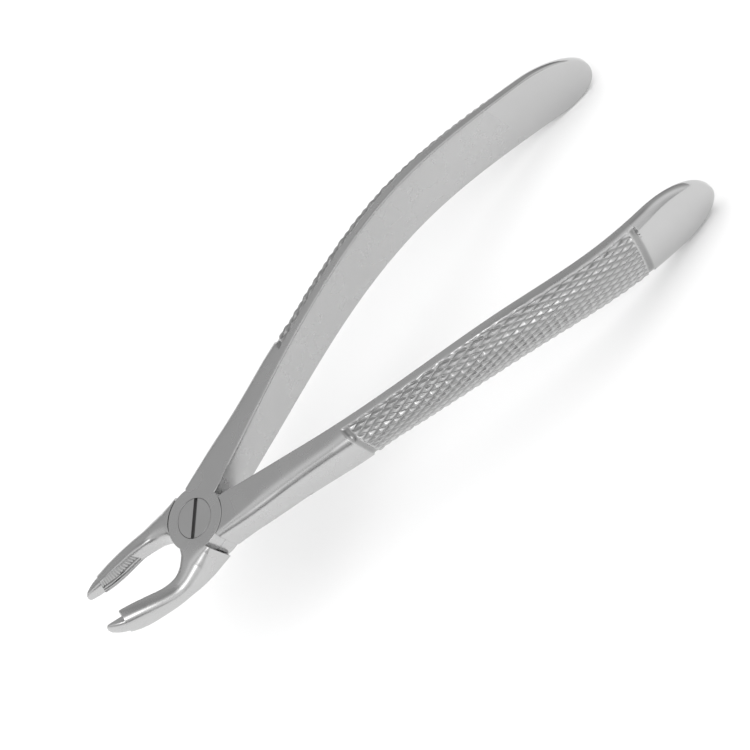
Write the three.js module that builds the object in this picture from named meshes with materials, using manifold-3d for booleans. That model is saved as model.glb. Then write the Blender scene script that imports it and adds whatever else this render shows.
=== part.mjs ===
// Extraction forceps with a lap joint: two forged halves that turn on one slotted screw.
// Millimetres. The origin is the centre of the joint's back face, on the pivot axis.
// +Z runs along the pivot towards the screw's slot, +X towards the ends of the handles,
// and +Y towards the handle of the front half. The forceps is drawn partly open.

import * as THREE from 'three';
import { mergeVertices } from 'three/addons/utils/BufferGeometryUtils.js';
import Module from 'manifold-3d';

const wasm = await Module();
wasm.setup();

// ---- Driving dimensions ----------------------------------------------------------------

// Joint: each half keeps a round cheek of half the thickness, laid on the other's cheek.
const JOINT_THICKNESS = 8.4;
const CHEEK_RADIUS = 7.35;
const CHEEK_AXIAL_GAP = 0.1;
const CHEEK_RADIAL_GAP = 0.15;

// Joint screw: a flush slotted head, a plain bearing and a threaded end.
const HEAD_RADIUS = 4.5;
const HEAD_HEIGHT = 1.7;
const BEARING_RADIUS = 3.2;
const THREAD_RADIUS = 2.6;
const SCREW_RUNNING_GAP = 0.08;
const SLOT_WIDTH = 1.0;
const SLOT_DEPTH = 0.9;
const SLOT_ANGLE = THREE.MathUtils.degToRad(48.5);

// Handles: [distance from the pivot along X, value] at the few stations that set the shape.
const HANDLE_ROOT = 2;
const HANDLE_END = 127.2;
const HANDLE_ROUND_LENGTH = 12;
const END_THINNING = 0.35;
const HANDLE_INNER_FACE = [
  [2, 0.3], [7.4, 0.75], [12, 2.3], [18.5, 4.6], [35, 10.4], [58, 17], [81, 21.6], [104, 23.65], [127, 22],
];
const HANDLE_OUTER_CROWN = [
  [2, 8.3], [12, 11.05], [18.5, 12.5], [35, 16.9], [58, 23.1], [81, 27.1], [104, 28.1], [127, 25.3],
];
const HANDLE_TOP_EDGE = [
  [2, 8.4], [18.5, 8.4], [35, 8.35], [58, 8], [81, 5.4], [104, -1.6], [127, -7.4],
];
const HANDLE_BOTTOM_EDGE = [
  [2, 0], [7.4, 0], [12, -0.5], [35, -3.1], [58, -5.4], [81, -10.6], [104, -19.4], [127, -26.8],
];
// The crown is nearly square at the joint and becomes an oval along the grip.
const HANDLE_SQUARENESS = [[2, 6], [8, 5], [20, 4.6], [34, 4.2], [44, 2.6], [127, 2.3]];
const FLAT_FACE_REACH = 24;

// Beaks in plan: matching points [x, y] of the inner and the outer side, joint to step.
const BEAK_INNER_SIDE = [
  [-3.5, 1], [-6.7, 0.85], [-8, 2.3], [-9.2, 3.7], [-10.7, 4.8],
  [-12.7, 5.4], [-14.9, 5.6], [-17, 5.4], [-20.5, 4.7], [-25.4, 4.2],
];
const BEAK_OUTER_SIDE = [
  [-1.15, 8.5], [-3.3, 9], [-5.6, 9.5], [-8.2, 9.9], [-10.6, 10.15],
  [-13, 10.2], [-15.2, 10.1], [-17.5, 9.8], [-20.5, 9.1], [-25.4, 7.7],
];
// Heights of the beak's four long edges: [x, z].
const BEAK_INNER_TOP = [[-1, 8.4], [-7, 8.4], [-12, 7.9], [-17, 9.6], [-21, 11.6], [-25.4, 13]];
const BEAK_OUTER_TOP = [[-1, 8.4], [-6, 8.2], [-12, 7.5], [-17, 8.9], [-21, 10.4], [-25.4, 11.6]];
const BEAK_INNER_BOTTOM = [[-1, 0], [-5, 0.2], [-9, 1.2], [-13, 2.3], [-17, 4.3], [-21, 6.1], [-25.4, 8.4]];
const BEAK_OUTER_BOTTOM = [[-1, 0], [-5, 0.4], [-9, 1.6], [-13, 2.9], [-17, 3.5], [-21, 4.7], [-25.4, 7.5]];
// The top is rounder than the underside.
const BEAK_TOP_SQUARENESS = [[-1, 8], [-4, 4.5], [-7, 2.6], [-12, 2.3], [-20, 2.7], [-25.4, 3.4]];
const BEAK_BOTTOM_SQUARENESS = [[-1, 9], [-6, 6], [-12, 3.6], [-20, 3.8], [-25.4, 4.5]];
// Past the start of the lean the sections slant, so that lower points reach further out.
const BEAK_END_LEAN = 0.52;
const BEAK_LEAN_START = -17;
const BEAK_LEAN_HEIGHT = 12;

// Beak tips past the step: wedges that end in a slanting edge, as [share of length, value].
const TIP_ROOT = -25;
const TIP_LENGTH = 4.95;
const TIP_INNER_EDGE = [[0, 5], [0.5, 4.85], [1, 4.75]];
const TIP_OUTER_EDGE = [[0, 7.62], [0.5, 6.75], [1, 5.3]];
const TIP_TOP_EDGE = [[0, 11.3], [0.5, 12.05], [1, 12.5]];
const TIP_BOTTOM_EDGE = [[0, 7.5], [0.5, 8.7], [1, 10.4]];
const TIP_SQUARENESS = 3.2;

// Mesh fineness.
const HANDLE_STATION_STEP = 3.6;
const ROUND_STATIONS = 6;
const CROWN_POINTS = 13;
const BEAK_STATIONS = 22;
const BEAK_SECTION_POINTS = 20;
const TIP_STATIONS = 6;
const CIRCLE_SEGMENTS = 72;

const LAP_PLANE = JOINT_THICKNESS / 2;

// ---- Solids and booleans ---------------------------------------------------------------

function toSolid(geometry) {
  const bare = geometry.clone();
  bare.deleteAttribute('normal');
  bare.deleteAttribute('uv');
  const merged = mergeVertices(bare, 1e-5);
  const mesh = new wasm.Mesh({
    numProp: 3,
    vertProperties: new Float32Array(merged.attributes.position.array),
    triVerts: new Uint32Array(merged.index.array),
  });
  return new wasm.Manifold(mesh);
}

function toGeometry(solid) {
  const mesh = solid.getMesh();
  const indexed = new THREE.BufferGeometry();
  indexed.setAttribute('position', new THREE.BufferAttribute(mesh.vertProperties, 3));
  indexed.setIndex(new THREE.BufferAttribute(mesh.triVerts, 1));
  const geometry = indexed.toNonIndexed();
  geometry.computeVertexNormals();
  return geometry;
}

// A cylinder along Z between two heights.
function pivotCylinder(radius, low, high) {
  const geometry = new THREE.CylinderGeometry(radius, radius, high - low, CIRCLE_SEGMENTS);
  geometry.rotateX(Math.PI / 2);
  geometry.translate(0, 0, (low + high) / 2);
  return toSolid(geometry);
}

function boxBetween(low, high) {
  const size = high.clone().sub(low);
  const centre = low.clone().add(high).multiplyScalar(0.5);
  const geometry = new THREE.BoxGeometry(size.x, size.y, size.z);
  geometry.translate(centre.x, centre.y, centre.z);
  return toSolid(geometry);
}

// A closed skin over a row of rings with equal numbers of points, flat at both ends.
function loft(rings) {
  const count = rings[0].length;
  const positions = rings.flat().flatMap((point) => point.toArray());
  const index = [];
  for (let ring = 0; ring < rings.length - 1; ring += 1) {
    for (let i = 0; i < count; i += 1) {
      const next = (i + 1) % count;
      const here = ring * count;
      const there = here + count;
      index.push(here + i, here + next, there + next);
      index.push(here + i, there + next, there + i);
    }
  }
  const last = (rings.length - 1) * count;
  for (let i = 1; i < count - 1; i += 1) {
    index.push(0, i + 1, i);
    index.push(last, last + i, last + i + 1);
  }
  if (enclosedVolume(positions, index) < 0) index.reverse();
  const geometry = new THREE.BufferGeometry();
  geometry.setAttribute('position', new THREE.Float32BufferAttribute(positions, 3));
  geometry.setIndex(index);
  return geometry;
}

// Positive when the triangles face outwards.
function enclosedVolume(positions, index) {
  const corner = (i) => new THREE.Vector3().fromArray(positions, 3 * index[i]);
  let volume = 0;
  for (let i = 0; i < index.length; i += 3) {
    volume += corner(i).dot(corner(i + 1).cross(corner(i + 2))) / 6;
  }
  return volume;
}

function mirrorY(solid) {
  return solid.mirror([0, 1, 0]);
}

// ---- Smooth curves ---------------------------------------------------------------------

// A smooth function through knots [place, value], with Catmull-Rom slopes.
function smooth(knots) {
  const ordered = [...knots].sort((a, b) => a[0] - b[0]);
  const slope = (i) => {
    const before = ordered[Math.max(i - 1, 0)];
    const after = ordered[Math.min(i + 1, ordered.length - 1)];
    return (after[1] - before[1]) / (after[0] - before[0]);
  };
  return (place) => {
    let i = 0;
    while (i < ordered.length - 2 && place > ordered[i + 1][0]) i += 1;
    const [x0, y0] = ordered[i];
    const [x1, y1] = ordered[i + 1];
    const width = x1 - x0;
    const t = THREE.MathUtils.clamp((place - x0) / width, 0, 1);
    const rise = t * t * (3 - 2 * t);
    const leave = t * (1 - t) * (1 - t) * width * slope(i);
    const arrive = t * t * (t - 1) * width * slope(i + 1);
    return y0 + (y1 - y0) * rise + leave + arrive;
  };
}

function planCurve(points) {
  return new THREE.CatmullRomCurve3(points.map(([x, y]) => new THREE.Vector3(x, y, 0)));
}

function superellipse(angle, squareness) {
  const bend = (value) => Math.sign(value) * Math.abs(value) ** (2 / squareness);
  return [bend(Math.cos(angle)), bend(Math.sin(angle))];
}

// ---- Handle on the +Y side -------------------------------------------------------------

const innerFace = smooth(HANDLE_INNER_FACE);
const outerCrown = smooth(HANDLE_OUTER_CROWN);
const topEdge = smooth(HANDLE_TOP_EDGE);
const bottomEdge = smooth(HANDLE_BOTTOM_EDGE);
const handleSquareness = smooth(HANDLE_SQUARENESS);

// A D-shaped section: flat inner face and a crowned back.
function handleSection(x) {
  const roundStart = HANDLE_END - HANDLE_ROUND_LENGTH;
  const along = Math.max(0, (x - roundStart) / HANDLE_ROUND_LENGTH);
  const breadthLeft = Math.sqrt(Math.max(0, 1 - along * along));
  const depthLeft = breadthLeft ** END_THINNING;
  const middle = (topEdge(x) + bottomEdge(x)) / 2;
  const halfBreadth = ((topEdge(x) - bottomEdge(x)) / 2) * breadthLeft;
  const depth = (outerCrown(x) - innerFace(x)) * depthLeft;
  const innerY = innerFace(x) + ((outerCrown(x) - innerFace(x)) * (1 - depthLeft)) / 2;
  const ring = [];
  for (let i = 0; i < CROWN_POINTS; i += 1) {
    const angle = Math.PI * (i / (CROWN_POINTS - 1) - 0.5);
    const [out, up] = superellipse(angle, handleSquareness(x));
    ring.push(new THREE.Vector3(x, innerY + depth * out, middle + halfBreadth * up));
  }
  return ring;
}

function handle() {
  const roundStart = HANDLE_END - HANDLE_ROUND_LENGTH;
  const steps = Math.round((roundStart - HANDLE_ROOT) / HANDLE_STATION_STEP);
  const stations = [];
  for (let i = 0; i <= steps; i += 1) {
    stations.push(HANDLE_ROOT + ((roundStart - HANDLE_ROOT) * i) / steps);
  }
  for (let i = 1; i <= ROUND_STATIONS; i += 1) {
    const turn = (0.95 * Math.PI * i) / (2 * ROUND_STATIONS);
    stations.push(roundStart + HANDLE_ROUND_LENGTH * Math.sin(turn));
  }
  const grip = toSolid(loft(stations.map(handleSection)));
  const aboveJoint = boxBetween(
    new THREE.Vector3(-20, -20, JOINT_THICKNESS),
    new THREE.Vector3(FLAT_FACE_REACH, 40, JOINT_THICKNESS + 10),
  );
  return grip.subtract(aboveJoint);
}

// ---- Beak on the +Y side ---------------------------------------------------------------

// A rounded section fitted between an inner and an outer edge, each with its own two heights.
function roundedRing(inner, outer, innerHeights, outerHeights, topSquareness, bottomSquareness) {
  const ring = [];
  for (let i = 0; i < BEAK_SECTION_POINTS; i += 1) {
    const angle = (2 * Math.PI * (i + 0.5)) / BEAK_SECTION_POINTS;
    const squareness = angle < Math.PI ? topSquareness : bottomSquareness;
    const [out, up] = superellipse(angle, squareness);
    const across = (1 + out) / 2;
    const bottom = THREE.MathUtils.lerp(innerHeights[0], outerHeights[0], across);
    const top = THREE.MathUtils.lerp(innerHeights[1], outerHeights[1], across);
    const point = inner.clone().lerp(outer, across);
    point.z = THREE.MathUtils.lerp(bottom, top, (1 + up) / 2);
    ring.push(point);
  }
  return ring;
}

// Slants a section: amount runs from 0, upright, to 1, the full lean of the beak's end.
function lean(ring, amount) {
  for (const point of ring) {
    point.x -= BEAK_END_LEAN * amount * (BEAK_LEAN_HEIGHT - point.z);
  }
  return ring;
}

function beak() {
  const innerSide = planCurve(BEAK_INNER_SIDE);
  const outerSide = planCurve(BEAK_OUTER_SIDE);
  const innerTop = smooth(BEAK_INNER_TOP);
  const outerTop = smooth(BEAK_OUTER_TOP);
  const innerBottom = smooth(BEAK_INNER_BOTTOM);
  const outerBottom = smooth(BEAK_OUTER_BOTTOM);
  const topSquareness = smooth(BEAK_TOP_SQUARENESS);
  const bottomSquareness = smooth(BEAK_BOTTOM_SQUARENESS);
  const end = BEAK_INNER_SIDE.at(-1)[0];
  const rings = [];
  for (let i = 0; i <= BEAK_STATIONS; i += 1) {
    const inner = innerSide.getPoint(i / BEAK_STATIONS);
    const outer = outerSide.getPoint(i / BEAK_STATIONS);
    const x = (inner.x + outer.x) / 2;
    const innerHeights = [innerBottom(x), innerTop(x)];
    const outerHeights = [outerBottom(x), outerTop(x)];
    const ring = roundedRing(
      inner, outer, innerHeights, outerHeights, topSquareness(x), bottomSquareness(x),
    );
    rings.push(lean(ring, THREE.MathUtils.smoothstep(-x, -BEAK_LEAN_START, -end)));
  }
  return toSolid(loft(rings));
}

function beakTip() {
  const inner = smooth(TIP_INNER_EDGE);
  const outer = smooth(TIP_OUTER_EDGE);
  const top = smooth(TIP_TOP_EDGE);
  const bottom = smooth(TIP_BOTTOM_EDGE);
  const rings = [];
  for (let i = 0; i <= TIP_STATIONS; i += 1) {
    const share = i / TIP_STATIONS;
    const x = TIP_ROOT - TIP_LENGTH * share;
    const innerPoint = new THREE.Vector3(x, inner(share), 0);
    const outerPoint = new THREE.Vector3(x, outer(share), 0);
    const heights = [bottom(share), top(share)];
    const ring = roundedRing(
      innerPoint, outerPoint, heights, heights, TIP_SQUARENESS, TIP_SQUARENESS,
    );
    rings.push(lean(ring, 1));
  }
  return toSolid(loft(rings));
}

// ---- The two halves --------------------------------------------------------------------

const handleSolid = handle();
const beakSolid = beak().add(beakTip());

// Each half has its handle and its beak on opposite sides of the joint.
function halfBlank(handleSide) {
  const grip = handleSide > 0 ? handleSolid : mirrorY(handleSolid);
  const jaw = handleSide > 0 ? mirrorY(beakSolid) : beakSolid;
  return grip.add(jaw);
}

// The lap recess lets the other half's cheek turn inside this half.
function lapRecess(low, high) {
  return pivotCylinder(CHEEK_RADIUS + CHEEK_RADIAL_GAP, low, high);
}

function frontHalf() {
  const splitHeight = LAP_PLANE + CHEEK_AXIAL_GAP / 2;
  const cheek = pivotCylinder(CHEEK_RADIUS, splitHeight, JOINT_THICKNESS);
  const counterbore = pivotCylinder(
    HEAD_RADIUS + SCREW_RUNNING_GAP,
    JOINT_THICKNESS - HEAD_HEIGHT - SCREW_RUNNING_GAP,
    JOINT_THICKNESS + 1,
  );
  return halfBlank(1)
    .subtract(lapRecess(-1, splitHeight))
    .add(cheek)
    .subtract(counterbore)
    .subtract(pivotCylinder(BEARING_RADIUS + SCREW_RUNNING_GAP, -1, JOINT_THICKNESS));
}

function backHalf() {
  const splitHeight = LAP_PLANE - CHEEK_AXIAL_GAP / 2;
  const cheek = pivotCylinder(CHEEK_RADIUS, 0, splitHeight);
  return halfBlank(-1)
    .subtract(lapRecess(splitHeight, JOINT_THICKNESS + 5))
    .add(cheek)
    .subtract(pivotCylinder(THREAD_RADIUS + SCREW_RUNNING_GAP, -1, JOINT_THICKNESS));
}

function jointScrew() {
  const profile = [
    new THREE.Vector2(0, 0),
    new THREE.Vector2(THREAD_RADIUS, 0),
    new THREE.Vector2(THREAD_RADIUS, LAP_PLANE),
    new THREE.Vector2(BEARING_RADIUS, LAP_PLANE),
    new THREE.Vector2(BEARING_RADIUS, JOINT_THICKNESS - HEAD_HEIGHT),
    new THREE.Vector2(HEAD_RADIUS, JOINT_THICKNESS - HEAD_HEIGHT),
    new THREE.Vector2(HEAD_RADIUS, JOINT_THICKNESS),
    new THREE.Vector2(0, JOINT_THICKNESS),
  ];
  const turned = new THREE.LatheGeometry(profile, CIRCLE_SEGMENTS);
  turned.rotateX(Math.PI / 2);
  const slot = new THREE.BoxGeometry(3 * HEAD_RADIUS, SLOT_WIDTH, 2 * SLOT_DEPTH);
  slot.rotateZ(SLOT_ANGLE);
  slot.translate(0, 0, JOINT_THICKNESS);
  return toSolid(turned).subtract(toSolid(slot));
}

// ---- Scene graph -----------------------------------------------------------------------

const satinSteel = { color: 0xb9bbbc, roughness: 0.38, metalness: 1 };
const screwSteel = { color: 0xb2b4b5, roughness: 0.42, metalness: 1 };

function piece(name, solid, finish) {
  const mesh = new THREE.Mesh(toGeometry(solid), new THREE.MeshStandardMaterial(finish));
  mesh.name = name;
  return mesh;
}

const forceps = new THREE.Group();
forceps.add(piece('front_half', frontHalf(), satinSteel));
forceps.add(piece('back_half', backHalf(), satinSteel));
forceps.add(piece('joint_screw', jointScrew(), screwSteel));

export default forceps;
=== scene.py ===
"""Extraction forceps: detailed meshes, steel finishes, studio light and camera.

Shapes are worked out in millimetres in the frame's axes and scaled to metres at the end:
Z is the pivot axis, X runs to the ends of the handles, and the front half's handle is on +Y.
Every shape is made for the +Y side, and mirrored where a half needs it on the -Y side.
"""

import math

import bpy
import numpy as np
from mathutils import Matrix, Vector


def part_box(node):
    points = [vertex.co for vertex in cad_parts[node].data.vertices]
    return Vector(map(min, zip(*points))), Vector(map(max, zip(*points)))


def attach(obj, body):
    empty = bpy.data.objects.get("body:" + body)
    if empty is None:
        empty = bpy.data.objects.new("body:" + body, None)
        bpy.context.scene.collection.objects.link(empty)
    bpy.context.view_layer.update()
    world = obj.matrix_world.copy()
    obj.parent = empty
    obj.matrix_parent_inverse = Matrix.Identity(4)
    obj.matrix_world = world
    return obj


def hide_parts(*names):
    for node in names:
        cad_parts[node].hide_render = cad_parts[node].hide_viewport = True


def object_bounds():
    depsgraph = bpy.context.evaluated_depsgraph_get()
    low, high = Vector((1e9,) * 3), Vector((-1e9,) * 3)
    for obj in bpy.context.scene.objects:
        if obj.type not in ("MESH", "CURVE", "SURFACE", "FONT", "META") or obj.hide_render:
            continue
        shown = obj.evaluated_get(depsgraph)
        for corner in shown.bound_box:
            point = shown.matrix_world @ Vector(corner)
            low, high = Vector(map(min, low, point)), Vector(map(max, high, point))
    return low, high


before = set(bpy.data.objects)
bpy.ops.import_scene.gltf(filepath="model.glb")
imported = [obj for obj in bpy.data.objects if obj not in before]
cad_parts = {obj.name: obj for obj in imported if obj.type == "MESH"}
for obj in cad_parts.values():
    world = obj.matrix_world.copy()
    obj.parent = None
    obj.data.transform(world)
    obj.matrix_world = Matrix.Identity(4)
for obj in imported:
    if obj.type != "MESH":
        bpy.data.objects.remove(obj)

CAD_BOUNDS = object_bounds()
MM = 0.001
# Point value for painted shade: how far the colour is darkened in grooves and on the slot's floor.
PAINTED_SHADE = "painted_shade"
POLISH = "polish"

# ---- Driving dimensions, in millimetres unless a comment says otherwise -----------------

SCREW_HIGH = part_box("joint_screw")[1]
JOINT_THICKNESS = SCREW_HIGH.z / MM
HEAD_RADIUS = SCREW_HIGH.x / MM
HANDLE_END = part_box("front_half")[1].x / MM

CHEEK_RADIUS = 7.35
CHEEK_AXIAL_GAP = 0.1
CHEEK_RADIAL_GAP = 0.2
LAP_PLANE = JOINT_THICKNESS / 2
EDGE_BREAK = 0.12

HEAD_HEIGHT = 1.7
BEARING_RADIUS = 3.2
THREAD_RADIUS = 2.6
SCREW_RUNNING_GAP = 0.08
SLOT_WIDTH = 1.0
SLOT_DEPTH = 0.9
SLOT_ANGLE = math.radians(48.5)
# Painted shade on the floor of the screw's slot.
SLOT_FLOOR_PAINTED_SHADE = 1.6

# Small broken edges. The seat for the screw head flares from just below the joint's front face.
LAP_EDGE_BREAK = 0.05
RIM_EDGE_BREAK = 0.03
BORE_EDGE_BREAK = 0.1
SEAT_FLARE_BELOW = 0.02
SEAT_FLARE_ABOVE = 0.08

# Handle: (distance from the pivot along X, value).
HANDLE_ROOT = 2.0
HANDLE_ROUND_LENGTH = 12.0
HANDLE_END_TURN = 0.485 * math.pi
END_THINNING = 0.35
HANDLE_INNER_FACE = [
    (2, 0.3), (7.4, 0.75), (12, 2.3), (18.5, 4.6), (35, 10.4), (58, 17), (81, 21.6), (104, 23.65),
    (127, 22),
]
HANDLE_OUTER_CROWN = [
    (2, 8.3), (12, 11.05), (18.5, 12.5), (35, 16.9), (58, 23.1), (81, 27.1), (104, 28.1), (127, 25.3),
]
HANDLE_TOP_EDGE = [(2, 8.4), (18.5, 8.4), (35, 8.35), (58, 8), (81, 5.4), (104, -1.6), (127, -7.4)]
HANDLE_BOTTOM_EDGE = [
    (2, 0), (7.4, 0), (12, -0.5), (35, -3.1), (58, -5.4), (81, -10.6), (104, -19.4), (127, -26.4),
]
HANDLE_SQUARENESS = [(2, 6), (8, 5), (20, 4.6), (34, 4.2), (44, 2.6), (127, 2.3)]
INNER_EDGE_RADIUS = 0.5
INNER_EDGE_SHARE = 0.3

# Beside the joint, the handle is made a little too broad and its front is ground level with the
# joint, which fades out before the reach. Its back rises from the joint's back plane.
FLAT_FACE_REACH = 24.0
FLAT_FACE_FADE = 12.0
FLAT_FACE_EXTRA = 0.3
FLAT_FACE_EXTRA_FADE = (6.0, 20.0)
BACK_FACE_START = CHEEK_RADIUS + 1
BACK_FACE_FALL = 0.35
BACK_FACE_REACH = 20.0

# Grip pattern: crossed grooves that leave long diamonds, with a ring groove at each end.
GRIP_START = 38.3
GRIP_END = 109.0
GRIP_FLANK = 1.4
DIAMOND_LENGTH = 4.0
DIAMOND_WIDTH = 1.7
GROOVE_DEPTH = 0.42
GROOVE_FLANK = 0.42
RING_WIDTH = 1.7
RING_DEPTH = 0.42
GRIP_EDGE_FADE = 0.7
GRIP_RING_FADE = 0.3
POLISH_FADE = 0.5

# Beak in plan: matching points (x, y) of the inner and the outer side, joint to step.
BEAK_INNER_SIDE = [
    (-3.5, 1), (-6.7, 0.85), (-8, 2.3), (-9.2, 3.7), (-10.7, 4.8),
    (-12.7, 5.4), (-14.9, 5.6), (-17, 5.4), (-20.5, 4.7), (-25.4, 4.2),
]
BEAK_OUTER_SIDE = [
    (-1.15, 8.5), (-3.3, 9), (-5.6, 9.5), (-8.2, 9.9), (-10.6, 10.15),
    (-13, 10.2), (-15.2, 10.1), (-17.5, 9.8), (-20.5, 9.1), (-25.4, 7.7),
]
# Heights of the beak's four long edges: (x, z).
BEAK_INNER_TOP = [(-1, 8.4), (-7, 8.4), (-12, 7.9), (-17, 9.6), (-21, 11.6), (-25.4, 13.0)]
BEAK_OUTER_TOP = [(-1, 8.4), (-6, 8.2), (-12, 7.5), (-17, 8.9), (-21, 10.4), (-25.4, 11.6)]
BEAK_INNER_BOTTOM = [(-1, 0), (-5, 0.2), (-9, 1.2), (-13, 2.3), (-17, 4.3), (-21, 6.1), (-25.4, 8.4)]
BEAK_OUTER_BOTTOM = [(-1, 0), (-5, 0.4), (-9, 1.6), (-13, 2.9), (-17, 3.5), (-21, 4.7), (-25.4, 7.5)]
BEAK_TOP_SQUARENESS = [(-25.4, 3.4), (-20, 2.7), (-12, 2.3), (-7, 2.6), (-4, 4.5), (-1, 8)]
BEAK_BOTTOM_SQUARENESS = [(-25.4, 4.5), (-20, 3.8), (-12, 3.6), (-6, 6), (-1, 9)]
# Its end rings are drawn in by these shares, which breaks the edges of its ends.
BEAK_FIRST_SHRINK = 0.03
BEAK_LAST_SHRINK = 0.05
# The end of the beak leans: what is below the lean height moves away from the joint.
BEAK_END_LEAN = 0.52
BEAK_LEAN_START = -17.0
BEAK_LEAN_HEIGHT = 12.0

# Inside of the beak: a hollow, with serrations on its upper half and flutes on its lower half.
# Share is 0 at the inner edge and 1 at the outer one; up runs from -1 to 1 across the face.
BEAK_FACE_SHARE = (0.3, 0.05)
BEAK_FACE_UP = (0.92, 0.75)
BEAK_HALF_FADE = 0.05
BEAK_HOLLOW_DEPTH = 0.45
BEAK_HOLLOW_FADE = (-10.5, -14)
BEAK_SERRATION_START = -16.5
BEAK_SERRATION_FADE = 0.8
BEAK_SERRATION_PITCH = 0.6
BEAK_SERRATION_DEPTH = 0.16
BEAK_FLUTES_PER_HALF = 3.2
BEAK_FLUTE_FLANK = 0.8
BEAK_FLUTE_DEPTH = 0.2
# Painted shade over the whole worked face, with more in its grooves.
BEAK_FACE_PAINTED_SHADE = 0.4

# Beak tip past the step: a wedge that ends in a slanting edge, as (share of its length, value).
TIP_ROOT = -25.0
TIP_LENGTH = 4.95
TIP_INNER_EDGE = [(0, 5.0), (0.5, 4.85), (1, 4.75)]
TIP_OUTER_EDGE = [(0, 7.62), (0.5, 6.75), (1, 5.3)]
TIP_TOP_EDGE = [(0, 11.3), (0.5, 12.05), (1, 12.5)]
TIP_BOTTOM_EDGE = [(0, 7.5), (0.5, 8.7), (1, 10.4)]
TIP_SQUARENESS = 3.2
TIP_BLUNT_START = 0.86
TIP_BLUNT_LEFT = 0.2

# Steel: how much its tone and roughness vary, how much shade is painted into its grooves,
# and its fine grain, with the height in metres.
TONE_SPREAD = 0.03
ROUGHNESS_SPREAD = 0.03
# Painted shade in grooves: the share of the steel's tone it darkens towards, and how far it goes.
GROOVE_SHADE_TONE = 0.3
GROOVE_SHADE_AMOUNT = 0.55
GRAIN_HEIGHT = 0.00001
SATIN_GRAIN = 0.04
POLISHED_GRAIN = 0.005

# Light around the studio: an even part, and glows as (direction, spread, amount). A spread is
# the cosine from the direction at which the glow starts, and the one at which it is full.
WORLD_LIGHT = 0.12
BROAD = (0.55, 1.0)
NARROW = (0.93, 1.0)
KEY = (0.98, 0.995)
WORLD_GLOWS = [
    ((0, 0, 1), BROAD, 0.15),
    ((-0.1, -0.75, 0.6), BROAD, 0.3),
    ((0, 1, 0.35), BROAD, 0.23),
    ((-0.1, 0.65, 0.75), BROAD, 0.23),
    ((1, 0, 0.4), BROAD, 0.44),
    ((-1, 0, 0.4), BROAD, 0.65),
    ((0.7, -0.7, 0.4), BROAD, 0.55),
    ((-0.2, -0.55, 0.8), NARROW, 1.5),
    ((-0.2, -0.62, 0.75), KEY, 1.6),
    ((-0.2, -0.86, 0.46), NARROW, 0.5),
    ((0, -1, 0.08), NARROW, 0.5),
    ((-0.3, 0.1, 0.95), NARROW, 0.5),
]
FLOOR_SIZE = 6000.0
FLOOR_GAP = 0.02

# Camera: the picture's right and up, and its place past the joint's front, in metres.
CAMERA_RIGHT = Vector((0.6506, -0.4979, -0.5734))
CAMERA_UP = Vector((0.7283, 0.6231, 0.2852))
CAMERA_TO_RIGHT, CAMERA_TO_UP, CAMERA_TO_BACK = 0.0393, 0.03112, 0.5397
CAMERA_LENS = 119.17
CAMERA_SENSOR = 36.0

# Mesh fineness: steps and reaches along X, shares of the beak's length, and counts.
FINE_BEFORE_GRIP = 1.0
FINE_PAST_GRIP = 5.0
GRIP_STEP = 0.2
PLAIN_STEP = 0.9
CROWN_COLUMNS = 200
CORNER_POINTS = 6
FACE_POINTS = 12
HANDLE_END_RINGS = 30
BEAK_COLUMNS = 112
BEAK_BEND_SHARE = 0.62
BEAK_BEND_RINGS = 80
BEAK_END_RINGS = 130
TIP_COLUMNS = 64
TIP_RINGS = 20
TIP_BLUNT_RINGS = 9
DENSE_CROWN_POINTS = 600
DENSE_SECTION_POINTS = 480
CIRCLE_SEGMENTS = 192
SHARP_ANGLE = math.radians(30)


# ---- Curves and numbers -----------------------------------------------------------------

def spline(knots):
    """A natural cubic spline through (place, value) knots, held level outside them."""
    places, values = np.array(sorted(knots), float).T
    gaps = np.diff(places)
    slopes = np.diff(values) / gaps
    system = np.eye(len(places))
    right = np.zeros(len(places))
    for i in range(1, len(places) - 1):
        system[i, i - 1:i + 2] = gaps[i - 1], 2 * (gaps[i - 1] + gaps[i]), gaps[i]
        right[i] = 6 * (slopes[i] - slopes[i - 1])
    bends = np.linalg.solve(system, right)

    def value(place):
        place = np.clip(place, places[0], places[-1])
        i = np.clip(np.searchsorted(places, place) - 1, 0, len(gaps) - 1)
        before = place - places[i]
        after = places[i + 1] - place
        curved = (bends[i] * after ** 3 + bends[i + 1] * before ** 3) / (6 * gaps[i])
        level = (values[i] / gaps[i] - bends[i] * gaps[i] / 6) * after
        return curved + level + (values[i + 1] / gaps[i] - bends[i + 1] * gaps[i] / 6) * before

    return value


def plan_curve(points):
    """A smooth plan curve through points, as x and y of a parameter from 0 to 1."""
    places = np.linspace(0, 1, len(points))
    return [spline(list(zip(places, values))) for values in zip(*points)]


def smoothstep(low, high, value):
    """A smooth rise from 0 at low to 1 at high; low may be the larger of the two."""
    t = np.clip((value - low) / (high - low), 0, 1)
    return t * t * (3 - 2 * t)


def soft_min(a, b, width):
    """The smaller of a and b, rounded where they cross."""
    mix = np.clip(0.5 + 0.5 * (b - a) / width, 0, 1)
    return b + (a - b) * mix - width * mix * (1 - mix)


def superellipse(angle, squareness, squareness_below=None):
    """Across and up on a rounded square, from -1 to 1; its lower half may be squarer."""
    across, up = np.cos(angle), np.sin(angle)
    power = 2 / squareness
    if squareness_below is not None:
        power = np.where(up < 0, 2 / squareness_below, power)
    return np.sign(across) * np.abs(across) ** power, np.sign(up) * np.abs(up) ** power


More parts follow.
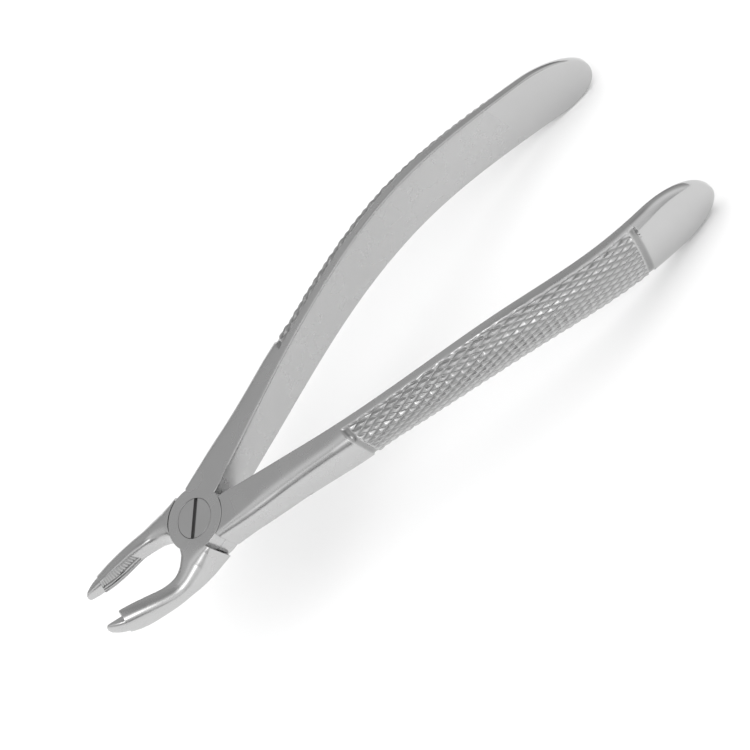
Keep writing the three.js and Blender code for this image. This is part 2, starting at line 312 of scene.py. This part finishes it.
def resample(points, count, closed=False):
    """Points (rows, many, coordinates) spaced evenly along each row; also each one's distance."""
    if closed:
        points = np.concatenate([points, points[:, :1]], axis=1)
    steps = np.linalg.norm(np.diff(points, axis=1), axis=2)
    length = np.concatenate([np.zeros((len(points), 1)), np.cumsum(steps, axis=1)], axis=1)
    places = np.linspace(0, 1, count + 1)[:-1] if closed else np.linspace(0, 1, count)
    even = np.empty((len(points), count, points.shape[2]))
    distance = places[None, :] * length[:, -1:]
    for row in range(len(points)):
        for axis in range(points.shape[2]):
            even[row, :, axis] = np.interp(distance[row], length[row], points[row, :, axis])
    return even, distance


def grid_normals(grid):
    """Outward normals of rings of points stacked along the first axis."""
    along = np.gradient(grid, axis=0)
    around = np.roll(grid, -1, axis=1) - np.roll(grid, 1, axis=1)
    normal = np.cross(along, around)
    normal /= np.linalg.norm(normal, axis=2, keepdims=True) + 1e-12
    outward = grid - grid.mean(axis=1, keepdims=True)
    return normal * np.sign((normal * outward).sum())


# ---- Meshes -----------------------------------------------------------------------------

def make_object(name, vertices, faces):
    """A mesh object, from vertices in millimetres."""
    mesh = bpy.data.meshes.new(name)
    mesh.from_pydata((np.asarray(vertices) * MM).tolist(), [], faces)
    mesh.validate()
    piece = bpy.data.objects.new(name, mesh)
    bpy.context.scene.collection.objects.link(piece)
    return piece


def face_outwards(piece):
    """Turns the faces over if the mesh encloses a negative volume."""
    mesh = piece.data
    mesh.calc_loop_triangles()
    volume = 0.0
    for triangle in mesh.loop_triangles:
        a, b, c = (mesh.vertices[i].co for i in triangle.vertices)
        volume += a.dot(b.cross(c))
    if volume < 0:
        mesh.flip_normals()
    return piece


def loft(name, grid):
    """A closed skin over rings of points, with a fan at both ends."""
    rings, count = grid.shape[:2]
    vertices = np.concatenate([grid.reshape(-1, 3), grid[0].mean(0)[None], grid[-1].mean(0)[None]])
    start, end = rings * count, rings * count + 1
    here = np.arange(rings - 1)[:, None] * count + np.arange(count)[None]
    there = np.arange(rings - 1)[:, None] * count + np.roll(np.arange(count), -1)[None]
    sides = np.stack([here, there, there + count, here + count], axis=-1).reshape(-1, 4)
    last = (rings - 1) * count
    caps = []
    for i in range(count):
        following = (i + 1) % count
        caps.append((start, following, i))
        caps.append((end, last + i, last + following))
    return face_outwards(make_object(name, vertices, sides.tolist() + caps))


def turned(name, profile):
    """A solid of revolution about Z from (radius, height) points, low to high."""
    angles = np.linspace(0, 2 * math.pi, CIRCLE_SEGMENTS, endpoint=False)
    radius, height = np.array(profile, float).T
    grid = np.stack([
        radius[:, None] * np.cos(angles),
        radius[:, None] * np.sin(angles),
        np.repeat(height[:, None], CIRCLE_SEGMENTS, axis=1),
    ], axis=-1)
    return loft(name, grid)


def cheek_disc(low, high, low_break, high_break):
    """One cheek of the lap joint, with its two rims broken."""
    radius = CHEEK_RADIUS
    return turned("cheek", [
        (radius - low_break, low), (radius, low + low_break),
        (radius, high - high_break), (radius - high_break, high),
    ])


def combine(target, tool, operation):
    """Joins or cuts with a boolean modifier, applied at once, and removes the tool."""
    modifier = target.modifiers.new("combine", "BOOLEAN")
    modifier.operation = operation
    modifier.solver = "MANIFOLD"
    modifier.object = tool
    bpy.context.view_layer.update()
    evaluated = target.evaluated_get(bpy.context.evaluated_depsgraph_get())
    mesh = bpy.data.meshes.new_from_object(evaluated)
    target.modifiers.clear()
    target.data = mesh
    bpy.data.objects.remove(tool)
    return target


def mirror_y(piece):
    piece.data.transform(Matrix.Diagonal((1, -1, 1, 1)))
    piece.data.flip_normals()
    return piece


def add_point_values(piece, name, values, caps):
    """Stores a value on each point, and on a loft also on the middle points of its two caps."""
    layer = piece.data.attributes.new(name, "FLOAT", "POINT")
    layer.data.foreach_set("value", np.append(values.ravel(), caps))


def shade(piece):
    """Smooth shading with crisp edges at the joint and the beaks, and none along the grips."""
    mesh = piece.data
    mesh.shade_smooth()
    mesh.set_sharp_from_angle(angle=SHARP_ANGLE)
    places = np.empty(3 * len(mesh.vertices))
    mesh.vertices.foreach_get("co", places)
    ends = np.empty(2 * len(mesh.edges), int)
    mesh.edges.foreach_get("vertices", ends)
    along_grip = places[0::3][ends].reshape(-1, 2).min(axis=1) > (FLAT_FACE_REACH + 1) * MM
    sharp = np.empty(len(mesh.edges), bool)
    mesh.edges.foreach_get("use_edge_sharp", sharp)
    mesh.edges.foreach_set("use_edge_sharp", sharp & ~along_grip)
    return piece


# ---- Handle on the +Y side --------------------------------------------------------------

def handle_stations():
    """Places along X: close together under the grip pattern, and closer towards the round end."""
    round_start = HANDLE_END - HANDLE_ROUND_LENGTH
    root = np.array([HANDLE_ROOT, HANDLE_ROOT + EDGE_BREAK])
    fine_start, fine_end = GRIP_START - FINE_BEFORE_GRIP, GRIP_END + FINE_PAST_GRIP
    shank = np.arange(HANDLE_ROOT + PLAIN_STEP, fine_start, PLAIN_STEP / 2)
    grip = np.arange(fine_start, fine_end, GRIP_STEP)
    plain = np.arange(fine_end, round_start, PLAIN_STEP)
    turn = np.linspace(0, HANDLE_END_TURN, HANDLE_END_RINGS)
    rounded = round_start + HANDLE_ROUND_LENGTH * np.sin(turn)
    return np.concatenate([root, shank, grip, plain, rounded])


def handle_rings(x):
    """Rings of points: the crown from -Z to +Z, then the flat inner face back again.

    Also each crown point's distance along the crown from its middle.
    """
    inner, outer = spline(HANDLE_INNER_FACE)(x), spline(HANDLE_OUTER_CROWN)(x)
    top, bottom = spline(HANDLE_TOP_EDGE)(x), spline(HANDLE_BOTTOM_EDGE)(x)
    round_start = HANDLE_END - HANDLE_ROUND_LENGTH
    along = np.clip((x - round_start) / HANDLE_ROUND_LENGTH, 0, 1)
    breadth_left = np.sqrt(1 - along ** 2)
    depth_left = breadth_left ** END_THINNING
    extra = FLAT_FACE_EXTRA * (1 - smoothstep(*FLAT_FACE_EXTRA_FADE, x))
    middle = (top + bottom) / 2
    half = ((top - bottom) / 2 + extra) * breadth_left
    face = inner + (outer - inner) * (1 - depth_left) / 2
    depth = (outer - inner) * depth_left
    corner = np.minimum(INNER_EDGE_RADIUS, INNER_EDGE_SHARE * np.minimum(half, depth))
    shrink = np.where(x == HANDLE_ROOT, EDGE_BREAK, 0)

    angle = np.linspace(-math.pi / 2, math.pi / 2, DENSE_CROWN_POINTS)[None]
    out, up = superellipse(angle, np.interp(x, *zip(*HANDLE_SQUARENESS))[:, None])
    dense = np.stack([
        np.broadcast_to(x[:, None], out.shape),
        (face + corner)[:, None] + (depth - corner - shrink)[:, None] * out,
        middle[:, None] + (half - shrink)[:, None] * up,
    ], axis=-1)
    crown, distance = resample(dense, CROWN_COLUMNS)
    across = distance - distance[:, -1:] / 2

    bend = np.linspace(0, math.pi / 2, CORNER_POINTS)[None, 1:]
    upper = np.stack([
        np.broadcast_to(x[:, None], (len(x), CORNER_POINTS - 1)),
        (face + corner)[:, None] - corner[:, None] * np.sin(bend),
        (middle + half - shrink - corner)[:, None] + corner[:, None] * np.cos(bend),
    ], axis=-1)
    lower = upper[:, ::-1].copy()
    lower[:, :, 2] = 2 * middle[:, None] - lower[:, :, 2]
    share = np.linspace(0, 1, FACE_POINTS + 2)[None, 1:-1, None]
    face_line = upper[:, -1:] * (1 - share) + lower[:, :1] * share
    rings = np.concatenate([crown, upper, face_line, lower], axis=1)
    return rings, across


def grip_depth(travel, x, across, edge):
    """How far the grip pattern cuts into the crown, with travel measured along the handle."""
    along, aside = travel / DIAMOND_LENGTH, across / DIAMOND_WIDTH
    cells = [along + aside, along - aside]
    rises = [np.clip(np.abs(cell - np.round(cell)) / GROOVE_FLANK, 0, 1) for cell in cells]
    pattern = GROOVE_DEPTH * (1 - np.minimum(*rises))
    on_arc = smoothstep(0, GRIP_EDGE_FADE, edge - GRIP_FLANK - np.abs(across))
    past_first_ring = smoothstep(0, GRIP_RING_FADE, x - GRIP_START - RING_WIDTH)
    before_last_ring = smoothstep(0, GRIP_RING_FADE, GRIP_END - RING_WIDTH - x)
    inside = past_first_ring * before_last_ring
    ring = np.zeros_like(x)
    for centre in (GRIP_START + RING_WIDTH / 2, GRIP_END - RING_WIDTH / 2):
        ring = np.maximum(ring, np.sqrt(np.clip(1 - ((x - centre) / (RING_WIDTH / 2)) ** 2, 0, 1)))
    return on_arc * (pattern * inside + RING_DEPTH * ring)


def flatten_beside_joint(rings):
    """Grinds the handle's front level with the joint, and lifts its back off the back plane."""
    x, z = rings[..., 0], rings[..., 2]
    near = smoothstep(FLAT_FACE_REACH, FLAT_FACE_REACH - FLAT_FACE_FADE, x)
    ground = z + near * (soft_min(z, JOINT_THICKNESS, EDGE_BREAK) - z)
    floor = np.minimum(0, -BACK_FACE_FALL * (x - BACK_FACE_START))
    raised = -soft_min(-ground, -floor, EDGE_BREAK)
    rings[..., 2] = np.where(x < BACK_FACE_REACH, raised, ground)


def handle():
    """A handle with its grip pattern, carrying the shade painted into its grooves and where its
    polish is.
    """
    x = handle_stations()
    rings, across = handle_rings(x)
    spine = rings.mean(axis=1)
    steps = np.linalg.norm(np.diff(spine, axis=0), axis=1)
    travel = np.concatenate([[0], np.cumsum(steps)])[:, None]
    fall = np.gradient(spine[:, 2], x)[:, None]
    slant = fall * (rings[:, :CROWN_COLUMNS, 2] - spine[:, 2:3])
    depth = grip_depth(travel + slant, x[:, None] + slant, across, across[:, -1:])
    rings[:, :CROWN_COLUMNS] -= grid_normals(rings)[:, :CROWN_COLUMNS] * depth[..., None]
    flatten_beside_joint(rings)
    grip = loft("handle", rings)
    # Painted shade on the grip, as deep as its grooves and rings cut.
    painted_shade = np.zeros(rings.shape[:2])
    painted_shade[:, :CROWN_COLUMNS] = depth / GROOVE_DEPTH
    polish = np.zeros(rings.shape[:2])
    polish[:, :CROWN_COLUMNS] = smoothstep(GRIP_END - POLISH_FADE, GRIP_END, x[:, None] + slant)
    polish[:, CROWN_COLUMNS:] = polish[:, :1]
    add_point_values(grip, PAINTED_SHADE, painted_shade, (0, 0))
    add_point_values(grip, POLISH, polish, (0, 1))
    return grip


# ---- Beak on the +Y side ----------------------------------------------------------------

def rounded_rings(inner, outer, inner_heights, outer_heights, squareness, columns):
    """Rounded sections fitted between an inner and an outer edge, with their share and up."""
    angle = np.linspace(0, 2 * math.pi, DENSE_SECTION_POINTS, endpoint=False)[None]
    out, up = superellipse(angle, *(values[:, None] for values in squareness))
    share = (1 + out) / 2
    plan = inner[:, None] * (1 - share[..., None]) + outer[:, None] * share[..., None]
    bottom = inner_heights[0][:, None] * (1 - share) + outer_heights[0][:, None] * share
    top = inner_heights[1][:, None] * (1 - share) + outer_heights[1][:, None] * share
    height = bottom + (top - bottom) * (1 + up) / 2
    # Share and up ride along as two coordinates too small to count in the distance.
    carried = np.stack([share, up], axis=-1) * 1e-6
    dense = np.concatenate([plan, height[..., None], carried], axis=-1)
    even, _ = resample(dense, columns, closed=True)
    return even[..., :3], even[..., 3] * 1e6, even[..., 4] * 1e6


def beak_face_cuts(x, share, up):
    """How deep the inside of the beak is worked, and how much shade is painted on it, most in its
    grooves.
    """
    on_face = smoothstep(*BEAK_FACE_SHARE, share) * smoothstep(*BEAK_FACE_UP, np.abs(up))
    upper_half = smoothstep(-BEAK_HALF_FADE, BEAK_HALF_FADE, up)
    lower_half = smoothstep(BEAK_HALF_FADE, -BEAK_HALF_FADE, up)
    worked = smoothstep(BEAK_SERRATION_START, BEAK_SERRATION_START - BEAK_SERRATION_FADE, x)
    tooth = np.abs((x / BEAK_SERRATION_PITCH) % 1 - 0.5) * 2
    flute = np.abs((up * BEAK_FLUTES_PER_HALF) % 1 - 0.5) * 2
    serrations = BEAK_SERRATION_DEPTH * (1 - tooth) * upper_half
    flutes = BEAK_FLUTE_DEPTH * (1 - smoothstep(0, BEAK_FLUTE_FLANK, flute)) * lower_half
    hollow = BEAK_HOLLOW_DEPTH * (1 - up ** 2) * smoothstep(*BEAK_HOLLOW_FADE, x)
    depth = on_face * (hollow + worked * (serrations + flutes))
    # Painted shade: some over the worked face, more in its serrations and flutes.
    grooves = BEAK_FACE_PAINTED_SHADE + (serrations + flutes) / BEAK_SERRATION_DEPTH
    return depth, worked * on_face * grooves


def shrunk(ring, share):
    """A ring drawn in towards its middle by a share."""
    return ring + (ring.mean(1, keepdims=True) - ring) * share


def beak():
    """A beak from the joint to its step, worked on the inside."""
    t = np.concatenate([
        np.linspace(0, BEAK_BEND_SHARE, BEAK_BEND_RINGS),
        np.linspace(BEAK_BEND_SHARE, 1, BEAK_END_RINGS)[1:],
    ])
    inner = np.stack([curve(t) for curve in plan_curve(BEAK_INNER_SIDE)], axis=-1)
    outer = np.stack([curve(t) for curve in plan_curve(BEAK_OUTER_SIDE)], axis=-1)
    x = (inner[:, 0] + outer[:, 0]) / 2
    rings, share, up = rounded_rings(
        inner, outer,
        (spline(BEAK_INNER_BOTTOM)(x), spline(BEAK_INNER_TOP)(x)),
        (spline(BEAK_OUTER_BOTTOM)(x), spline(BEAK_OUTER_TOP)(x)),
        [np.interp(x, *zip(*knots)) for knots in (BEAK_TOP_SQUARENESS, BEAK_BOTTOM_SQUARENESS)],
        BEAK_COLUMNS,
    )
    depth, grooves = beak_face_cuts(rings[..., 0], share, up)
    rings -= grid_normals(rings) * depth[..., None]
    leaning = smoothstep(BEAK_LEAN_START, BEAK_INNER_SIDE[-1][0], rings[..., 0])
    rings[..., 0] -= BEAK_END_LEAN * leaning * (BEAK_LEAN_HEIGHT - rings[..., 2])
    last = shrunk(rings[-1:], BEAK_LAST_SHRINK)
    last[..., 0] -= EDGE_BREAK / 2
    jaw = loft("beak", np.concatenate([shrunk(rings[:1], BEAK_FIRST_SHRINK), rings, last]))
    # The painted shade of the worked face, carried on the points.
    add_point_values(jaw, PAINTED_SHADE, np.concatenate([grooves[:1], grooves, grooves[-1:]]), (0, 0))
    return jaw


def beak_tip():
    """The pointed tip past the step, blunt at its end."""
    blunt_length = 1 - TIP_BLUNT_START
    turn = np.linspace(0.1, 1, TIP_BLUNT_RINGS) * math.pi / 2
    share = np.concatenate([
        np.linspace(0, TIP_BLUNT_START, TIP_RINGS), TIP_BLUNT_START + blunt_length * np.sin(turn),
    ])
    x = TIP_ROOT - TIP_LENGTH * share
    inner = np.stack([x, spline(TIP_INNER_EDGE)(share)], axis=-1)
    outer = np.stack([x, spline(TIP_OUTER_EDGE)(share)], axis=-1)
    heights = (spline(TIP_BOTTOM_EDGE)(share), spline(TIP_TOP_EDGE)(share))
    squareness = [np.full(len(x), TIP_SQUARENESS)]
    rings, _, _ = rounded_rings(inner, outer, heights, heights, squareness, TIP_COLUMNS)
    rings[..., 0] -= BEAK_END_LEAN * (BEAK_LEAN_HEIGHT - rings[..., 2])
    past = ((share - TIP_BLUNT_START) / blunt_length).clip(0)
    blunt = np.sqrt(np.clip(1 - past ** 2, TIP_BLUNT_LEFT, 1))[:, None, None]
    rings = rings.mean(1, keepdims=True) * (1 - blunt) + rings * blunt
    return loft("beak_tip", rings)


# ---- Halves and screw -------------------------------------------------------------------

def half_blank(handle_side):
    """A handle on one side (1 for +Y, -1 for -Y), joined to the beak on the other."""
    jaw = combine(beak(), beak_tip(), "UNION")
    grip = handle()
    if handle_side > 0:
        mirror_y(jaw)
    else:
        mirror_y(grip)
    return combine(grip, jaw, "UNION")


def lap_recess(low, high):
    """The round space that a half clears for the other one's cheek, and past its outer face."""
    radius = CHEEK_RADIUS + CHEEK_RADIAL_GAP
    return turned("recess", [(radius, low), (radius, high)])


def front_half():
    split = LAP_PLANE + CHEEK_AXIAL_GAP / 2
    head_seat = JOINT_THICKNESS - HEAD_HEIGHT - SCREW_RUNNING_GAP
    head_bore = HEAD_RADIUS + SCREW_RUNNING_GAP
    piece = combine(half_blank(1), lap_recess(-1, split), "DIFFERENCE")
    cheek = cheek_disc(split, JOINT_THICKNESS, LAP_EDGE_BREAK, EDGE_BREAK / 2)
    combine(piece, cheek, "UNION")
    seat = turned("seat", [
        (head_bore, head_seat),
        (head_bore, JOINT_THICKNESS - SEAT_FLARE_BELOW),
        (head_bore + BORE_EDGE_BREAK, JOINT_THICKNESS + SEAT_FLARE_ABOVE),
    ])
    combine(piece, seat, "DIFFERENCE")
    bore_radius = BEARING_RADIUS + SCREW_RUNNING_GAP
    bore = turned("bore", [(bore_radius, -1), (bore_radius, 8)])
    combine(piece, bore, "DIFFERENCE")
    piece.name = "front_half_steel"
    return shade(piece)


def back_half():
    split = LAP_PLANE - CHEEK_AXIAL_GAP / 2
    piece = combine(half_blank(-1), lap_recess(split, JOINT_THICKNESS + 5), "DIFFERENCE")
    cheek = cheek_disc(0, split, EDGE_BREAK / 2, LAP_EDGE_BREAK)
    combine(piece, cheek, "UNION")
    hole = THREAD_RADIUS + SCREW_RUNNING_GAP
    bore = turned("bore", [
        (hole + BORE_EDGE_BREAK, -BORE_EDGE_BREAK / 2), (hole, BORE_EDGE_BREAK / 2),
        (hole, JOINT_THICKNESS),
    ])
    combine(piece, bore, "DIFFERENCE")
    piece.name = "back_half_steel"
    return shade(piece)


def box_tool(name, size, turn, centre):
    """A box turned about Z."""
    corners = np.array([(a, b, c) for a in (-1, 1) for b in (-1, 1) for c in (-1, 1)], float)
    vertices = corners * np.array(size) / 2
    cos, sin = math.cos(turn), math.sin(turn)
    turned_vertices = vertices @ np.array([(cos, sin, 0), (-sin, cos, 0), (0, 0, 1)])
    faces = [(0, 1, 3, 2), (4, 6, 7, 5), (0, 4, 5, 1), (2, 3, 7, 6), (0, 2, 6, 4), (1, 5, 7, 3)]
    return face_outwards(make_object(name, turned_vertices + np.array(centre), faces))


def joint_screw():
    shoulder = JOINT_THICKNESS - HEAD_HEIGHT
    screw = turned("joint_screw_steel", [
        (THREAD_RADIUS - BORE_EDGE_BREAK, 0), (THREAD_RADIUS, BORE_EDGE_BREAK),
        (THREAD_RADIUS, LAP_PLANE), (BEARING_RADIUS, LAP_PLANE),
        (BEARING_RADIUS, shoulder), (HEAD_RADIUS, shoulder),
        (HEAD_RADIUS, JOINT_THICKNESS - RIM_EDGE_BREAK),
        (HEAD_RADIUS - RIM_EDGE_BREAK, JOINT_THICKNESS),
    ])
    slot_size = (3 * HEAD_RADIUS, SLOT_WIDTH, 2 * SLOT_DEPTH)
    slot = box_tool("slot", slot_size, SLOT_ANGLE, (0, 0, JOINT_THICKNESS))
    screw = shade(combine(screw, slot, "DIFFERENCE"))
    # The slot's floor gets painted shade.
    places = np.empty(3 * len(screw.data.vertices))
    screw.data.vertices.foreach_get("co", places)
    above_slot_floor = places[2::3] / MM - (JOINT_THICKNESS - SLOT_DEPTH)
    on_slot_floor = np.abs(above_slot_floor) < 0.01
    add_point_values(screw, PAINTED_SHADE, on_slot_floor * SLOT_FLOOR_PAINTED_SHADE, ())
    return screw


# ---- Materials --------------------------------------------------------------------------

def new_material(name):
    material = bpy.data.materials.new(name)
    material.use_nodes = True
    nodes = material.node_tree.nodes
    return material, nodes, material.node_tree.links, nodes["Principled BSDF"]


def noise(nodes, links, coordinate, scale, detail, roughness):
    texture = nodes.new("ShaderNodeTexNoise")
    texture.inputs["Scale"].default_value = scale
    texture.inputs["Detail"].default_value = detail
    texture.inputs["Roughness"].default_value = roughness
    links.new(coordinate, texture.inputs["Vector"])
    return texture.outputs["Fac"]


def ramp(nodes, links, value, low, high, out_low, out_high):
    """Maps value from low..high to out_low..out_high, smoothly and clamped."""
    node = nodes.new("ShaderNodeMapRange")
    node.interpolation_type = "SMOOTHSTEP"
    ends = {"From Min": low, "From Max": high, "To Min": out_low, "To Max": out_high}
    for name, number in ends.items():
        node.inputs[name].default_value = number
    links.new(value, node.inputs["Value"])
    return node.outputs["Result"]


def maths(nodes, links, operation, first, second):
    node = nodes.new("ShaderNodeMath")
    node.operation = operation
    for socket, value in zip(node.inputs, (first, second)):
        if isinstance(value, (int, float)):
            socket.default_value = value
        else:
            links.new(value, socket)
    return node.outputs["Value"]


def grey(tone):
    return tone, tone, tone, 1


def surface_value(nodes, name):
    """A value that the mesh carries on its points, and zero where it carries none."""
    node = nodes.new("ShaderNodeAttribute")
    node.attribute_name = name
    return node.outputs["Fac"]


def colour_mix(nodes, links, share, first, second):
    """Goes from the first colour to the second as share goes from 0 to 1."""
    node = nodes.new("ShaderNodeMix")
    node.data_type = "RGBA"
    links.new(share, node.inputs["Factor"])
    for name, colour in (("A", first), ("B", second)):
        socket = next(s for s in node.inputs if s.name == name and s.type == "RGBA")
        if isinstance(colour, tuple):
            socket.default_value = colour
        else:
            links.new(colour, socket)
    return next(s for s in node.outputs if s.type == "RGBA")


def steel(name, tone, satin_roughness, polished_roughness):
    """Satin stainless steel with painted shade in its grooves, mirror polished where the mesh says
    so.
    """
    material, nodes, links, shader = new_material(name)
    shader.inputs["Metallic"].default_value = 1.0
    position = nodes.new("ShaderNodeTexCoord").outputs["Object"]
    grain = noise(nodes, links, position, scale=9000, detail=3, roughness=0.6)
    cloud = noise(nodes, links, position, scale=160, detail=4, roughness=0.55)
    polish = surface_value(nodes, POLISH)
    roughest, smoothest = satin_roughness + ROUGHNESS_SPREAD, satin_roughness - ROUGHNESS_SPREAD
    satin = ramp(nodes, links, cloud, 0.3, 0.7, smoothest, roughest)
    roughness = nodes.new("ShaderNodeMix")
    roughness.data_type = "FLOAT"
    links.new(polish, roughness.inputs["Factor"])
    links.new(satin, roughness.inputs["A"])
    roughness.inputs["B"].default_value = polished_roughness
    links.new(roughness.outputs["Result"], shader.inputs["Roughness"])

    darker, lighter = grey(tone * (1 - TONE_SPREAD)), grey(tone * (1 + TONE_SPREAD))
    tint = colour_mix(nodes, links, cloud, darker, lighter)
    # Painted shade: where the mesh says so, the colour is darkened towards the groove tone.
    hollow = ramp(nodes, links, surface_value(nodes, PAINTED_SHADE), 0.25, 1.0, 0, GROOVE_SHADE_AMOUNT)
    colour = colour_mix(nodes, links, hollow, tint, grey(GROOVE_SHADE_TONE * tone))
    links.new(colour, shader.inputs["Base Color"])

    bump = nodes.new("ShaderNodeBump")
    bump.inputs["Distance"].default_value = GRAIN_HEIGHT
    strength = ramp(nodes, links, polish, 0, 1, SATIN_GRAIN, POLISHED_GRAIN)
    links.new(strength, bump.inputs["Strength"])
    links.new(grain, bump.inputs["Height"])
    links.new(bump.outputs["Normal"], shader.inputs["Normal"])
    return material


def floor_material():
    material, _, _, shader = new_material("studio_floor")
    shader.inputs["Base Color"].default_value = grey(0.9)
    shader.inputs["Roughness"].default_value = 0.9
    shader.inputs["Specular IOR Level"].default_value = 0.0
    return material


# ---- Stage ------------------------------------------------------------------------------

def add_floor(height):
    reach = FLOOR_SIZE / 2
    corners = [(-reach, -reach), (reach, -reach), (reach, reach), (-reach, reach)]
    floor = make_object("floor", [(x, y, height) for x, y in corners], [(0, 1, 2, 3)])
    floor.data.materials.append(floor_material())


def add_overhead_light():
    """A large softbox over the forceps, which lights the floor and isn't mirrored in the steel."""
    light = bpy.data.lights.new("overhead", "AREA")
    light.shape = "RECTANGLE"
    light.size, light.size_y = 2.0, 2.0
    light.energy = 17.5
    lamp = bpy.data.objects.new("overhead", light)
    towards = Vector((0.1, 0.1, 1)).normalized()
    middle_of_forceps = Vector((0.04, 0, 0))
    lamp.location = middle_of_forceps + towards * 1.4
    lamp.rotation_mode = "QUATERNION"
    lamp.rotation_quaternion = towards.to_track_quat("Z", "Y")
    lamp.visible_glossy = False
    bpy.context.scene.collection.objects.link(lamp)


def glow(nodes, links, direction, towards, spread, amount):
    """Light around one direction, from nothing to its full amount over the spread."""
    facing = nodes.new("ShaderNodeVectorMath")
    facing.operation = "DOT_PRODUCT"
    facing.inputs[1].default_value = Vector(towards).normalized()
    links.new(direction, facing.inputs[0])
    return ramp(nodes, links, facing.outputs["Value"], *spread, 0, amount)


def add_world():
    """Even studio light with soft glows, brightest high up on the -Y side."""
    world = bpy.data.worlds.new("studio")
    world.use_nodes = True
    nodes, links = world.node_tree.nodes, world.node_tree.links
    background = nodes["Background"]
    background.inputs["Color"].default_value = (1, 1, 1, 1)
    direction = nodes.new("ShaderNodeTexCoord").outputs["Generated"]
    light = WORLD_LIGHT
    for towards, spread, amount in WORLD_GLOWS:
        more = glow(nodes, links, direction, towards, spread, amount)
        light = maths(nodes, links, "ADD", more, light)
    links.new(light, background.inputs["Strength"])
    bpy.context.scene.world = world


def add_camera():
    """A long lens above the -Y side, rolled so that the handles run up to the right."""
    right = CAMERA_RIGHT
    back = right.cross(CAMERA_UP).normalized()
    up = back.cross(right).normalized()
    joint_front = Vector((0, 0, JOINT_THICKNESS * MM))
    place = joint_front + right * CAMERA_TO_RIGHT + up * CAMERA_TO_UP + back * CAMERA_TO_BACK
    data = bpy.data.cameras.new("camera")
    data.sensor_width = CAMERA_SENSOR
    data.lens = CAMERA_LENS
    data.clip_start = 0.01
    camera = bpy.data.objects.new("camera", data)
    turn = Matrix((right, up, back)).transposed().to_4x4()
    camera.matrix_world = Matrix.Translation(place) @ turn
    bpy.context.scene.collection.objects.link(camera)
    bpy.context.scene.camera = camera


# ---- Assembly ---------------------------------------------------------------------------

steel_body = steel("satin_steel", tone=0.52, satin_roughness=0.27, polished_roughness=0.12)
steel_screw = steel("screw_steel", tone=0.5, satin_roughness=0.33, polished_roughness=0.33)

for make, body, node, slot, material in (
    (front_half, "front_half", "front_half", "satin_steel", steel_body),
    (back_half, "back_half", "back_half", "satin_steel", steel_body),
    (joint_screw, "back_half", "joint_screw", "screw_steel", steel_screw),
):
    piece = make()
    piece.data.materials.clear()
    piece.data.materials.append(material)
    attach(piece, body)
    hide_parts(node)

add_floor(CAD_BOUNDS[0][2] / MM - FLOOR_GAP)
add_world()
add_overhead_light()
add_camera()
bpy.context.scene.view_settings.view_transform = "Standard"
